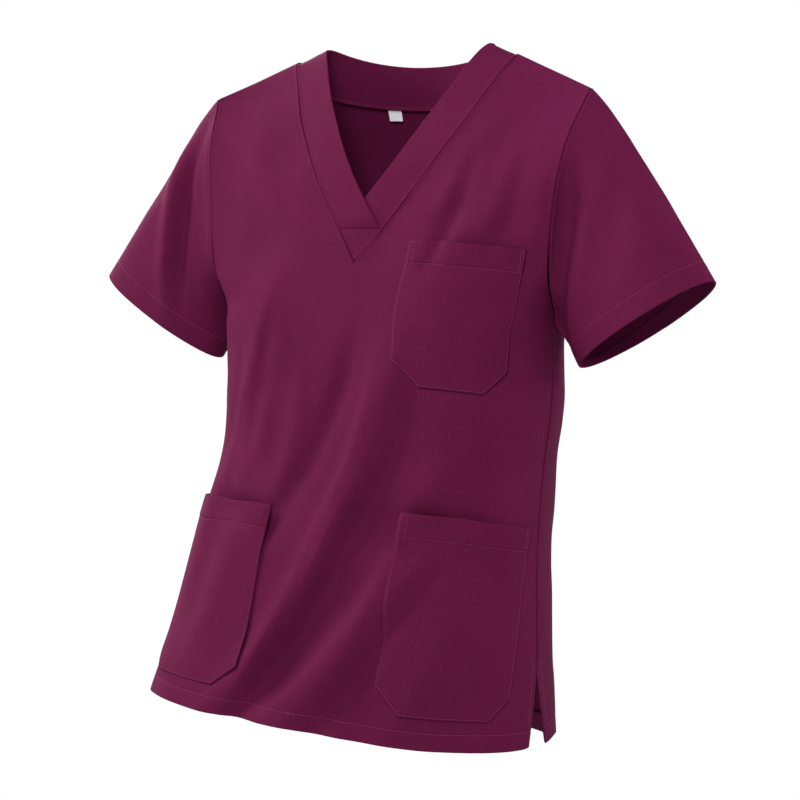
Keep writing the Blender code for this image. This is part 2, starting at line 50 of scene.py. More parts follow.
BOW_FROM, BOW_TO = PIT_Z - 0.010, PIT_Z + 0.070
VENT_FRONT, VENT_IN, VENT_OUT, VENT_BACK = 0.008, 0.004, 0.004, 0.012
VENT_NARROW, VENT_POWER = 8, 1.25
# From hem to shoulder: z, half width, depth in front, depth behind, sway to the left, sway back
RINGS = [
    (-0.674, 0.221, 0.09, 0.16, -0.025, -0.0225),
    (-0.59, 0.206, 0.0845, 0.1462, -0.0172, -0.0175),
    (-0.5, 0.1925, 0.08, 0.1338, -0.013, -0.01),
    (-0.415, 0.182, 0.0745, 0.1265, -0.004, -0.0045),
    (-0.345, 0.184, 0.0765, 0.119, -0.0025, -0.0015),
    (-0.275, 0.186, 0.078, 0.11, -0.007, 0.0),
    (-0.2, 0.19, 0.077, 0.108, -0.002, 0.0),
    (-0.11, 0.19, 0.077, 0.108, 0.0, 0.0),
]
# From underarm to tip: z, front x, front y, back x, back y
ARMHOLE = [
    (-0.275, 0.186, 0.0, 0.186, 0.0),
    (-0.235, 0.191, -0.032, 0.185, 0.042),
    (-0.165, 0.196, -0.048, 0.184, 0.062),
    (-0.105, 0.2035, -0.044, 0.195, 0.052),
    (-0.0527, TIP_HALF, TIP_Y, TIP_HALF, TIP_Y),
]
PIT_SLOPE = 0.048  # of the half width at the underarm
# How far the hem hangs off level, below HEM_LINE_Z, from right to left: u, in front, behind
HEM_LINE = [
    (-1.0, 0.0078, 0.0075), (-0.67, 0.007, 0.004), (-0.3, 0.0026, 0.0), (-0.03, 0.0, 0.0),
    (0.17, -0.0038, -0.002), (0.36, -0.0056, -0.003), (0.65, -0.003, -0.001),
    (0.84, -0.0008, 0.0082), (1.0, 0.0006, 0.004),
]
HEM_LINE_Z = -0.600
RISE_FRONT, RISE_BACK = (1.7, 1.35), (2.0, 1.2)
# The V's seam and the band's free edge, from the low end up: z, x
NECK_SEAM = [
    (V_Z, 0.0), (-0.1915, 0.0225), (-0.136, 0.06), (-0.079, 0.0955),
    (-0.048, 0.1105), (SEAM_TOP_Z, SEAM_HALF),
]
NECK_EDGE = [
    (-0.1895, -0.0205), (-0.161, 0.0), (-0.119, 0.029), (-0.082, 0.051),
    (-0.045, 0.0715), (-0.019, 0.084), (0.0, NECK_HALF),
]
BAND_END_Z = -0.1905
OVER_FROM, OVER_TO = -0.105, -0.150
BACK_SEAM_Z, BACK_SEAM_BOX, BACK_EDGE_Z, BACK_EDGE_Y = -0.055, 0.45, -0.016, 0.044
BACK_EDGE_DIP, BACK_EDGE_SWEEP = 1.5, 0.8
NECK_Y = TIP_Y * (NECK_HALF / TIP_HALF) ** FLAT
CUFF_TOP = np.array([0.346, -0.014, -0.2345])
CUFF_UNDER = np.array([0.2115, 0.003, -0.317])
CUFF_FRONT, CUFF_BACK = 0.04, 0.042
ARM = np.array([0.545, 0.0, -0.838])
LEAVE_TOP = np.array([0.915, 0.0, -0.404])
LEAVE_UNDER = np.array([0.55, 0.0, -0.835])
LEAVE_FRONT = np.array([0.7, 0.6, -0.37])
LEAVE_BACK = np.array([0.85, -0.35, -0.40])
PULL, PULL_TOP = 0.75, 0.52
# By side: how much longer the sleeve is, more at its top, and how far its top stands out
CUFF_SHIFT = {1: (-0.0038, 0.0, 0.0022), -1: (0.0015, -0.0015, -0.002)}
CUFF_OUT = np.array([0.838, 0, 0.545])
PIT_OUT, PIT_POWER = np.array([0.001, 0, 0]), 1.5
# name, side, depth of its hem, then for its foot and top: z, inner u, outer u, drop at each side
POCKETS = [
    ("pocket_chest", 1, 0.0215,
     (-0.3401, 0.159, 0.638, 0.0, 0.0063), (-0.2014, 0.162, 0.696, 0.0, 0.0056)),
    ("pocket_left", 1, 0.022,
     (-0.6468, 0.214, 0.756, 0.0, 0.0019), (-0.4611, 0.248, 0.897, 0.0, 0.009)),
    ("pocket_right", -1, 0.022,
     (-0.6468, 0.182, 0.79, 0.0, 0.0), (-0.4611, 0.207, 0.928, 0.0034, 0.0025)),
]
CORNER = 0.023
LABEL = (0.014, 0.01)
LABEL_X, LABEL_DROP, LABEL_THICK = -0.044, 0.001, 0.0005
LABEL_LIFT = (0.0018, 0.001, 0.0004)  # off the back: least, more at its foot, more at its sides

# ---- cloth and sewing, in metres
THICK = 0.0006  # one layer
ALLOWANCE = 0.009  # turned in along a panel's sides
HEM_STITCH = 0.015  # above the body's hem
CUFF_STITCH = 0.020
PAST_STITCH = 0.002  # a hem's inner layer goes on this far past its stitches
EDGE_STITCH = 0.0017  # inside a pocket's edge
BOX_STITCH = 0.0062  # the second line of a pocket's corner box
VENT_STITCH = 0.0075
VENT_SEWN = (0.003, 0.006)  # from so far over the hem's stitches to so far over the vent's top
STITCH_PITCH, STITCH_LONG, STITCH_RADIUS, STITCH_SIDES = 0.003, 0.0022, 0.0003, 6
STITCH_AHEAD = 4e-4
# Along a stitch in lengths, radius and height in radii
STITCH_FORM = [(-0.5, 0.3, -0.5), (-0.32, 0.95, 0.25), (0.32, 0.95, 0.25), (0.5, 0.3, -0.5)]
# Between the layers at each turned edge, and the angles that the turn goes through
TURN = {"hem": 0.0019, "cuff": 0.0011, "side": 0.0008, "band": 0.001, "back_band": 0.0012,
        "mouth": 0.0009}
ROLL = (54, 18, -18, -54)
# Each seam's dip and its bead's height; the armholes are as the side seams
DIP = {"side": (0.0011, 0.0004), "neck": (0.0011, 0.0005), "back_neck": (0.001, 0.0005),
       "band": (0.001, 0.0004), "tip": (0.0008, 0.0003), "back_band": (0.0006, 0.0004)}
DIP_WIDE, BEAD_AT, BEAD_WIDE = 0.0006, 0.0018, 0.0011
# More at the side seams: height, distance, width; how far the edge stands in
SIDE_SEAM = {"front": ([(0.0008, 0.0, 0.005), (-0.0055, 0.0, 0.0015)], 0.0008),
             "back": ([(-0.0003, 0.0, 0.0008), (0.0008, 0.0016, 0.0012)], 0.0004)}
# A stitched line's trough, depth and width, and its ripples, height and reach
SEWN = {"hem": (0.00035, 0.0009, 0.00016, 0.006), "edge": (0.00035, 0.0006, 0.0001, 0.004),
        "mouth": (0.0005, 0.0007, 0.00012, 0.004)}
RIPPLES = (0.0093, 0.041, 0.067)  # long, and the lengths over which they shift and swell
# How far from each edge relief eases off
WAVE_CALM, SIDE_CALM, SEAM_CALM, NECK_CALM, VENT_CALM = 0.03, 0.02, 0.01, 0.008, 0.004
PIT_CALM, CUFF_CALM, ARMHOLE_CALM, BAND_CALM, MEET_CALM = 0.03, 0.06, 0.006, 0.004, 0.010
# The neckband: relief over the seam's, how far the over band lies off, and its flat end
BAND_LIFT, OVER_LIFT, END_DOWN, END_WIDE, END_SHORT = 0.0004, 0.0018, 0.0016, 0.0055, 0.0070
SHOULDER_GAP = GAP / 2 + RIM / 4
SHOULDER_DIPS = [(NECK_HALF, 0.0014, 0.008), (0.108, 0.0013, 0.013)]  # x, depth, width
STAND, STAND_WIDE = 0.0009, 0.0026  # of the back band's inner edge
# That layer past the seam: how far down, how much further in
LAP = [(0.0006, 0.0002), (0.0012, 0.0003), (0.0018, 0.0003), (0.0024, 0.0002)]
# A pocket's face: height at its edge, more inside it, within a width; its hem; its open mouth
EDGE_LIFT, FACE_LIFT, LIFT_WIDE, MOUTH_LIFT = 0.0014, 0.0011, 0.0008, 0.0004
GAPE, GAPE_DOWN, GAPE_POWER = 0.0024, 0.03, 0.7

# ---- grids
# Length where it is fixed, how long it is fine at its start and end, fine and coarse step
PANEL_UP = (0.019, 0.0, 0.0009, 0.0046)
PANEL_ACROSS = (0.245, 0.0032, 0.0032, 0.00045, 0.0042)
SLEEVE_UP = (0.24, 0.026, 0.006, 0.0007, 0.0036)
BAND_ACROSS = (0.033, 0.003, 0.002, 0.0005, 0.0016)
BACK_BAND_ACROSS = (0.04, 0.003, 0.002, 0.0005, 0.0018)
POCKET_UP = (0.003, 0.026, 0.0006, 0.0024)
POCKET_ACROSS = (0.125, 0.004, 0.004, 0.0005, 0.0024)
GROWTH = 0.35  # of a step, with the distance from where it is fine
FAN_ROWS, FAN_POWER, NECK_SHARE = 42, 1.6, 6 / 11
ARMHOLE_STEPS, ARMHOLE_HALF = 90, 80
OVER_ROWS, UNDER_ROWS, BACK_COLUMNS = 130, 150, 70
WIDTH_STEPS, SIDE_STEPS, OUTLINE_STEPS, MOUTH_STEPS, BOX_STEPS = 13, 15, 260, 60, 20
STEP, WELD = 2e-4, 1e-6  # for slopes, and between points that are one

# ---- folds
# Top x, z, middle x, z, low x, z, half width, height (+ stands out). On a sleeve x is the distance
# from the armhole and z the angle round it, from the top forwards.
FOLDS = {"front": [
    (0.057, -0.24, -0.004, -0.524, -0.105, -0.674, 0.02, 0.0093),
    (0.105, -0.354, 0.085, -0.531, -0.012, -0.674, 0.027, 0.0117),
    (-0.111, -0.199, -0.107, -0.313, -0.151, -0.401, 0.03, 0.009),
    (0.177, -0.379, 0.119, -0.462, 0.075, -0.549, 0.028, -0.01),
    (0.176, -0.051, 0.15, -0.147, 0.11, -0.232, 0.016, 0.0075),
    (-0.114, -0.334, -0.119, -0.384, -0.129, -0.494, 0.015, 0.004),
    (-0.172, -0.411, -0.118, -0.478, -0.091, -0.501, 0.02, -0.0064),
    (0.198, -0.068, 0.192, -0.139, 0.179, -0.232, 0.016, 0.0072),
    (-0.169, -0.05, -0.116, -0.16, -0.095, -0.205, 0.022, 0.008),
    (0.159, -0.225, 0.148, -0.381, 0.165, -0.478, 0.02, 0.0091),
    (-0.113, -0.456, -0.123, -0.557, -0.164, -0.657, 0.018, 0.0042),
    (0.086, -0.101, 0.061, -0.137, 0.022, -0.244, 0.028, -0.006),
    (0.195, -0.068, 0.199, -0.19, 0.159, -0.307, 0.018, 0.0084),
    (0.05, -0.278, 0.023, -0.4, -0.008, -0.553, 0.016, 0.0072),
    (0.055, -0.498, -0.016, -0.619, -0.062, -0.674, 0.022, -0.0081),
    (-0.083, -0.383, -0.106, -0.558, -0.136, -0.674, 0.03, 0.0035),
    (0.105, -0.222, 0.114, -0.329, 0.115, -0.413, 0.029, 0.0084),
    (0.119, -0.08, 0.104, -0.15, 0.074, -0.25, 0.009, -0.0058),
    (0.166, -0.07, 0.159, -0.15, 0.136, -0.232, 0.009, -0.0054),
    (-0.155, -0.07, -0.147, -0.16, -0.143, -0.25, 0.017, 0.0034),
    (-0.15, -0.37, -0.158, -0.48, -0.178, -0.6, 0.015, 0.0048),
    (-0.084, -0.25, -0.098, -0.32, -0.128, -0.44, 0.01, -0.0036),
    (-0.056, -0.3, -0.056, -0.37, -0.078, -0.48, 0.011, 0.0026),
    (0.046, -0.25, 0.003, -0.45, -0.081, -0.674, 0.008, 0.004),
    (0.072, -0.27, 0.034, -0.48, -0.068, -0.674, 0.013, -0.0076),
    (0.074, -0.4, 0.069, -0.53, -0.037, -0.674, 0.009, 0.0026),
    (0.142, -0.48, 0.084, -0.58, 0.033, -0.674, 0.013, -0.0056),
    (-0.086, -0.225, -0.113, -0.32, -0.163, -0.42, 0.007, 0.0022),
    (0.154, -0.521, 0.129, -0.61, 0.105, -0.674, 0.014, 0.0018),
    (0.02, -0.263, -0.018, -0.377, -0.08, -0.52, 0.013, -0.0052),
    (0.136, -0.05, 0.108, -0.121, 0.081, -0.185, 0.014, 0.0063),
    (-0.098, -0.346, -0.101, -0.414, -0.104, -0.436, 0.012, 0.0042),
    (0.126, -0.125, 0.112, -0.19, 0.091, -0.219, 0.013, 0.0025),
    (-0.059, -0.065, -0.073, -0.173, -0.058, -0.304, 0.032, 0.0042),
    (0.101, -0.493, 0.076, -0.559, 0.071, -0.674, 0.018, -0.0043),
    (0.135, -0.42, 0.164, -0.508, 0.168, -0.674, 0.019, -0.0056),
    (0.074, -0.214, 0.076, -0.302, 0.07, -0.369, 0.026, 0.0046),
    (-0.128, -0.263, -0.138, -0.33, -0.168, -0.451, 0.008, -0.0029),
], "back": [
    (0.02, -0.33, 0.005, -0.48, -0.03, -0.674, 0.024, 0.009),
    (0.11, -0.3, 0.095, -0.47, 0.075, -0.674, 0.022, 0.0075),
    (-0.1, -0.31, -0.105, -0.48, -0.135, -0.674, 0.022, 0.008),
    (0.135, -0.13, 0.118, -0.22, 0.09, -0.33, 0.018, -0.004),
    (-0.135, -0.13, -0.12, -0.22, -0.095, -0.33, 0.018, -0.004),
    (0.06, -0.42, 0.048, -0.54, 0.03, -0.674, 0.016, 0.005),
    (-0.045, -0.4, -0.058, -0.54, -0.08, -0.674, 0.017, 0.0056),
    (0.16, -0.4, 0.158, -0.52, 0.15, -0.674, 0.017, 0.0048),
    (0.09, -0.07, 0.12, -0.14, 0.14, -0.21, 0.016, 0.0022),
    (-0.095, -0.075, -0.126, -0.15, -0.142, -0.22, 0.015, 0.0024),
    (0.03, -0.09, 0.04, -0.18, 0.036, -0.28, 0.024, 0.0014),
], "sleeve_right": [
    (0.034, -0.16, 0.07, 0.85, 0.118, 2.2, 0.018, 0.008),
    (0.008, 0.06, 0.045, 1.0, 0.088, 2.3, 0.012, -0.0054),
    (0.006, 0.3, 0.007, 1.2, 0.008, 2.4, 0.006, 0.0016),
    (0.15, 0.7, 0.128, 1.3, 0.1, 2.0, 0.014, -0.0016),
    (0.03, -0.35, 0.08, -0.8, 0.14, -1.45, 0.02, 0.004),
    (0.02, 4.5, 0.05, 4.0, 0.05, 3.3, 0.014, 0.0032),
], "sleeve_left": [
    (0.016, 0.7, 0.018, 1.9, 0.022, 3.6, 0.013, -0.0068),
    (0.055, 0.1, 0.046, 1.3, 0.05, 2.5, 0.018, 0.003),
    (0.09, 0.2, 0.11, 0.9, 0.12, 1.7, 0.024, 0.0018),
    (0.034, -0.3, 0.09, -0.85, 0.15, -1.5, 0.022, 0.0042),
    (0.018, 4.55, 0.044, 4.05, 0.052, 3.4, 0.013, 0.003),
]}
FOLD_FADE = 0.35
HEM_FROM, HEM_CALM = 0.8, 0.55  # where a fold that reaches the hem grows lower, and by how much
# Where the front tucks in above a pocket's top: pocket, depth, reach up, from and to across it
TUCKS = [
    ("pocket_chest", 0.0022, 0.008, 0.1, 1.1), ("pocket_left", 0.0068, 0.015, -0.12, 0.72),
    ("pocket_right", 0.006, 0.014, -0.1, 0.8), ("pocket_left", 0.0056, 0.014, -0.42, 0.34),
    ("pocket_right", 0.0034, 0.011, -0.28, 0.42),
]
TUCK_FADE, TUCK_LIP, TUCK_FOOT = 0.35, 0.002, (-0.05, -0.02)
# Small uneven waves all over: wavelength, direction in degrees, height, phase
WAVES = [
    (0.15, 20, 0.0006, 0.4), (0.093, 74, 0.00035, 2.1), (0.061, -35, 0.00022, 4.0),
    (0.043, 12, 0.00012, 1.3), (0.031, 58, 0.00008, 5.2),
]
WAVE_BEND, BEND_LONG = 0.7, 2.7
SLEEVE_WAVES, BAND_WAVES = 0.8, 0.4  # how much of them shows


# ==== the form as functions
def smooth(x, table, k, start=None):
    """A table's column k at x, against its first: a cubic, with its first slope where given."""
    xs, ys = (np.array([row[c] for row in table], float) for c in (0, k))
    slope = np.gradient(ys, xs)
    if start is not None:
        slope[0] = start
    i = np.clip(np.searchsorted(xs, x) - 1, 0, len(xs) - 2)
    h = xs[i + 1] - xs[i]
    t = np.clip((np.asarray(x, float) - xs[i]) / h, 0, 1)
    return ((1 + 2 * t) * (1 - t) ** 2 * ys[i] + t * (1 - t) ** 2 * h * slope[i]
            + t * t * (3 - 2 * t) * ys[i + 1] + t * t * (t - 1) * h * slope[i + 1])


def ease(x, a, b):
    """A smooth step from 0 at a to 1 at b."""
    t = np.clip((x - a) / (b - a), 0, 1)
    return t * t * (3 - 2 * t)


def bell(d, at, wide):
    """1 at a place, and less and less to either side of it."""
    return np.exp(-((d - at) / wide) ** 2)


def ridge(x):
    """Height of the shoulder line."""
    return -SLOPE * (np.sqrt(x * x + SOFT ** 2) - math.hypot(NECK_HALF, SOFT))


def half_width(z, front):
    """From the middle to the side seam or the armhole."""
    return np.where(z < PIT_Z, smooth(z, RINGS, 1),
                    smooth(z, ARMHOLE, 1 if front else 3, PIT_SLOPE))


def side_y(z, front):
    """y of the side seam and the armhole, before the sway."""
    return np.where(z < PIT_Z, 0, smooth(z, ARMHOLE, 2 if front else 4, 0.0))


def fold_sum(x, z, folds):
    """Height of folds. Each follows a curve through three places and fades at its ends."""
    out = np.zeros(np.broadcast(x, z).shape)
    for x0, z0, x1, z1, x2, z2, wide, high in folds:
        t = np.clip((z - z0) / (z2 - z0), 0, 1)
        mid = (z1 - z0) / (z2 - z0)
        line = (x0 * (t - mid) * (t - 1) / mid + x1 * t * (t - 1) / (mid * (mid - 1))
                + x2 * t * (t - mid) / (1 - mid))
        low = 1 - HEM_CALM * ease(t, HEM_FROM, 1) if z2 <= HEM_Z else 1 - ease(t, 1 - FOLD_FADE, 1)
        ends = ease(t, 0, FOLD_FADE) * low
        out = out + high * ends * bell(x, line, wide)
    return out


def body(u, z, front):
    """A point of the body: u runs -1..1 from side to side and z up."""
    u, z = np.broadcast_arrays(np.asarray(u, float), np.asarray(z, float))
    angle = np.abs(u) * pi / 2
    across = np.sin(angle) ** ROUND
    x = np.sign(u) * across * half_width(z, front)
    ring = np.maximum(np.cos(angle), 0) ** ROUND
    bow = ring + (1 - across ** FLAT - ring) * ease(z, BOW_FROM, BOW_TO)
    depth = smooth(z, RINGS, 2 if front else 3)
    t = np.clip((z - PIT_Z) / (ridge(x) - PIT_Z), 0, 1)
    m, k = RISE_FRONT if front else RISE_BACK
    rise = (1 - t ** m) ** (1 / k)
    out = -1 if front else 1
    stand = fold_sum(x, z, FOLDS["front" if front else "back"])
    y = side_y(z, front) * (1 - bow) + out * (depth + stand) * bow * rise
    x = x + smooth(z, RINGS, 4)
    y = y + smooth(z, RINGS, 5)
    share = (VENT_Z - np.minimum(z, VENT_Z)) / (VENT_Z - HEM_Z)
    part = share ** VENT_POWER * np.abs(u) ** VENT_NARROW
    x = x + np.sign(u) * part * (-VENT_IN if front else VENT_OUT)
    y = y + part * (-VENT_FRONT if front else VENT_BACK)
    hang = smooth(u, HEM_LINE, 1 if front else 2)
    return np.stack([x, y, z + hang * ease(z, HEM_LINE_Z, HEM_Z)], -1)


def u_at(x, z, front):
    """The body's u at x, before the sway."""
    across = np.clip(np.abs(x) / half_width(z, front), 0, 1)
    return np.sign(x) * np.arcsin(across ** (1 / ROUND)) / (pi / 2)


def unit(v):
    """Vectors cut to a length of 1."""
    return v / np.maximum(np.linalg.norm(v, axis=-1, keepdims=True), 1e-12)


def normals(u, z, front):
    """Outward normals of the body."""
    du = body(np.clip(u + STEP, -1, 1), z, front) - body(np.clip(u - STEP, -1, 1), z, front)
    dz = body(u, z + STEP, front) - body(u, z - STEP, front)
    n = unit(np.cross(du, dz))
    return n if front else -n


def neck_seam_x(z):
    """Half width of the V at its seam."""
    return smooth(z, NECK_SEAM, 1)


def back_seam(angle):
    """x and z of the back neck's seam, from the middle to the shoulder."""
    low = np.maximum(np.cos(angle), 0) ** BACK_SEAM_BOX
    return SEAM_HALF * np.sin(angle), SEAM_TOP_Z + (BACK_SEAM_Z - SEAM_TOP_Z) * low


def ridge_top(u):
    """Height of the shoulder line at u."""
    return ridge(np.sin(np.abs(u) * pi / 2) ** ROUND * TIP_HALF)


def waves(a, b):
    """Small uneven waves over a sheet laid out in metres."""
    out = np.zeros(np.broadcast(a, b).shape)
    for length, turn, high, phase in WAVES:
        c, s = math.cos(math.radians(turn)), math.sin(math.radians(turn))
        bend = WAVE_BEND * np.sin(2 * pi * (a * s - b * c) / (length * BEND_LONG) + phase * 3)
        out = out + high * np.sin(2 * pi * (a * c + b * s) / length + phase + bend)
    return out


# ==== grids of points
def spacing(length, fine_start, fine_end, fine, coarse):
    """Places from 0 to 1 along a length, close together near its ends."""
    out, s = [0.0], 0.0
    while s < length:
        near = min(max(s - fine_start, 0), max(length - s - fine_end, 0))
        s += min(coarse, fine + near * GROWTH)
        out.append(s)
    return np.array(out) / out[-1]


def lengths(points, axis):
    """Distance along a grid's axis from its first row or column."""
    step = np.linalg.norm(np.diff(points, axis=axis), axis=-1)
    pad = np.zeros_like(np.take(step, [0], axis))
    return np.concatenate([pad, np.cumsum(step, axis)], axis)


def sample(at, far, rows):
    """A path's rows of numbers at distances along it, given how far along each is."""
    return np.stack([np.interp(at, far, rows[:, k]) for k in range(rows.shape[1])], -1)


def from_edge(grid):
    """A grid with its last column as its first row."""
    return grid.transpose(1, 0, 2)[::-1]


def flat_on(edge, reach, axis):
    """Places on the cut of a layer that goes on from an edge, reach metres along an axis."""
    uv = np.array(np.broadcast_to(edge, (*reach.shape, 2)))
    uv[..., axis] += reach
    return uv


def seam_dip(d, seam):
    """A seam's edge turns in, with a low bead beside it over the allowances."""
    deep, bead = DIP[seam]
    return -deep * bell(d, 0, DIP_WIDE) + bead * bell(d, BEAD_AT, BEAD_WIDE)


def sewn(d, at, s, line):
    """A stitched line's trough and the short, uneven ripples across it."""
    deep, wide, high, reach = SEWN[line]
    first, shift, swell = (2 * pi * s / long for long in RIPPLES)
    beat = np.sin(first + 1.7 * np.sin(shift)) * (0.6 + 0.4 * np.sin(swell + 1))
    return -deep * bell(d, at, wide) + high * beat * bell(d, at, reach)


def turned(points, out, keep, gap):
    """The rolled edge and inner layer of a hem, at points' first row; keep rows are doubled."""
    away = unit(points[0] - points[1])
    middle = points[0] - out[0] * gap / 2
    rows = [points[0]]
    for a in np.radians(ROLL):
        rows.append(middle + out[0] * gap / 2 * math.sin(a) + away * gap / 2 * math.cos(a))
    rows += [points[k] - out[k] * gap for k in range(keep + 1)]
    return np.array(rows)


def grid_normals(points, closed):
    """Normals of a grid of points, as seen with rows going up and columns to the right."""
    across = (np.roll(points, -1, 1) - np.roll(points, 1, 1) if closed
              else np.gradient(points, axis=1))
    return unit(np.cross(across, np.gradient(points, axis=0)))


def line_at(points, out, distance, at):
    """Where each column of a grid is a distance from the first row: points and normals."""
    on, normal = (np.array([sample(at, distance[:, c], grid[:, c]) for c in range(grid.shape[1])])
                  for grid in (points, out))
    return on, unit(normal)


# ==== meshes
def add(name, data):
    """A new object in the scene."""
    made = bpy.data.objects.new(name, data)
    bpy.context.scene.collection.objects.link(made)
    return made


def make_mesh(name, verts, faces, finish, uvs=None):
    """A smooth object; one with places on the cut is welded where its grids meet."""
    data = bpy.data.meshes.new(name)
    data.from_pydata([tuple(v) for v in verts], [], [tuple(f) for f in faces])
    if uvs is not None:
        layer = data.uv_layers.new(name="cut")
        index = np.empty(len(data.loops), dtype=np.int64)
        data.loops.foreach_get("vertex_index", index)
        layer.data.foreach_set("uv", np.asarray(uvs, np.float32)[index].ravel())
        mesh = bmesh.new()
        mesh.from_mesh(data)
        bmesh.ops.remove_doubles(mesh, verts=mesh.verts, dist=WELD)
        bmesh.ops.recalc_face_normals(mesh, faces=mesh.faces)
        mesh.to_mesh(data)
        mesh.free()
    data.shade_smooth()
    data.materials.append(finish)
    return add(name, data)


def quads(base, rows, cols, closed):
    """Faces of a grid of points that are numbered from base."""
    faces = []
    for r in range(rows - 1):
        for c in range(cols if closed else cols - 1):
            d = (c + 1) % cols
            faces.append([base + r * cols + c, base + r * cols + d,
                          base + (r + 1) * cols + d, base + (r + 1) * cols + c])
    return faces


def cloth(name, grids, finish, thick=THICK, closed=False):
    """One sheet from grids of points, each with its places on the flat cut, thickened."""
    verts, uvs, faces = [], [], []
    for points, flat in grids:
        faces += quads(len(verts), *points.shape[:2], closed)
        verts += list(points.reshape(-1, 3))
        uvs += list(flat.reshape(-1, 2))
    made = make_mesh(name, verts, faces, finish, uvs)
    layer = made.modifiers.new("thickness", "SOLIDIFY")
    layer.thickness = thick
    layer.offset = 0.0
    return made


def stitches(name, lines, finish):
    """Small raised stitches along lines, each given as points and normals."""
    verts, faces = [], []
    for path, out in lines:
        far = lengths(path, 0)
        count = max(int(round(far[-1] / STITCH_PITCH)), 1)
        at = (np.arange(count) + 0.5) * far[-1] / count
        ahead = sample(at + STITCH_AHEAD, far, path) - sample(at - STITCH_AHEAD, far, path)
        for p, t, n in zip(sample(at, far, path), unit(ahead), unit(sample(at, far, out))):
            n = unit(n - t * np.dot(n, t))
            side = np.cross(t, n)
            base = len(verts)
            for along, wide, high in STITCH_FORM:
                centre = p + t * along * STITCH_LONG + n * high * STITCH_RADIUS
                for k in range(STITCH_SIDES):
                    a = 2 * pi * k / STITCH_SIDES
                    verts.append(centre + STITCH_RADIUS * wide
                                 * (side * math.cos(a) + n * math.sin(a)))
            faces += quads(base, len(STITCH_FORM), STITCH_SIDES, True)
            last = len(verts)
            faces += [range(base, base + STITCH_SIDES)[::-1], range(last - STITCH_SIDES, last)]
    return make_mesh(name, verts, faces, finish)


def place(made, node):
    """Rides a piece on the part, and in a solid's place where one is named."""
    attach(made, "root")
    if node:
        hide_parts(node)
    return made


def scrub(node, grids, closed=False):
    """A solid's cloth from its outer and turned layers."""
    return place(cloth(node + "_cloth", grids, CLOTH, closed=closed), node)


def sewing(node, lines):
    """The stitches on a solid's cloth."""
    return place(stitches(node + "_stitches", lines, THREAD), None)


# ==== materials
# Noise in the cloth: size across and along the cut, detail
SLUB, WEFT = (0.0010, 0.018, 2.0), (0.030, 0.0009, 2.0)
MOTTLE, BROAD = (0.0017, 0.0017, 3.0), (0.11, 0.11, 2.0)
RIB = 0.0011  # from one rib of the twill to the next


def put(node, values):
    """Sets a node's inputs by name."""
    for name, value in values.items():
        node.inputs[name].default_value = value


def shader(name, rough):
    """A new material, with its node tree and its shader."""
    made = bpy.data.materials.new(name)
    made.use_nodes = True
    main = made.node_tree.nodes["Principled BSDF"]
    put(main, {"Roughness": rough})
    return made, made.node_tree, main


def twill(name, colour, rough=0.8, lines=1.0, uneven=0.34):
    """Fine diagonal twill with slubs and a little mottling, laid out on the cut in metres."""
    made, tree, main = shader(name, rough)
    new, link = tree.nodes.new, tree.links.new
    where = new("ShaderNodeTexCoord").outputs["UV"]

    def noise(size_x, size_y, detail):
        laid, grain = new("ShaderNodeMapping"), new("ShaderNodeTexNoise")
        put(laid, {"Scale": (1 / size_x, 1 / size_y, 1.0)})
        put(grain, {"Scale": 1.0, "Detail": detail})
        link(where, laid.inputs["Vector"])
        link(laid.outputs["Vector"], grain.inputs["Vector"])
        return grain.outputs["Fac"]

    def both(kind, a, b):
        """Two outputs, or an output and a number, put together."""
        node = new("ShaderNodeMath")
        node.operation = kind
        link(a, node.inputs[0])
        if isinstance(b, float):
            node.inputs[1].default_value = b
        else:
            link(b, node.inputs[1])
        return node.outputs[0]

    def total(*parts):
        """The sum of outputs, each times its share."""
        out, *others = [both("MULTIPLY", *part) for part in parts]
        for other in others:
            out = both("ADD", out, other)
        return out

    wave = new("ShaderNodeTexWave")
    wave.bands_direction = "DIAGONAL"
    put(wave, {"Scale": 2 * pi / (10 * RIB), "Distortion": 1.2, "Detail": 1.0,
               "Detail Scale": 1.5})
    link(where, wave.inputs["Vector"])
    ribs = wave.outputs["Fac"]
    slub, weft, mottle, broad = (noise(*grain) for grain in (SLUB, WEFT, MOTTLE, BROAD))
    tone = total((slub, 0.20), (weft, 0.14), (mottle, 0.48), (broad, 0.18), (ribs, 0.10 * lines))
    ramp = new("ShaderNodeValToRGB")
    for end, at, share in zip(ramp.color_ramp.elements, (0.35, 0.75), (1 - uneven, 1 + uneven)):
        end.position = at
        end.color = (*(c * share for c in colour), 1)
    link(tone, ramp.inputs["Fac"])
    link(ramp.outputs["Color"], main.inputs["Base Color"])
    bump = new("ShaderNodeBump")
    put(bump, {"Strength": 0.35, "Distance": 0.00035})
    link(total((ribs, 0.6 * lines), (slub, 0.5), (mottle, 0.7)), bump.inputs["Height"])
    link(bump.outputs["Normal"], main.inputs["Normal"])
    put(main, {"Sheen Weight": 0.025, "Sheen Roughness": 0.45,
               "Sheen Tint": (1.0, 0.14, 0.46, 1.0), "Specular IOR Level": 0.06})
    return made


CLOTH = twill("scrub_twill", (0.0925, 0.0054, 0.0358))
THREAD = twill("thread", (0.208, 0.0320, 0.0970), rough=0.6, lines=0.0, uneven=0.1)
LABEL_CLOTH = twill("label_tape", (0.86, 0.84, 0.86), rough=0.6, lines=0.6, uneven=0.08)


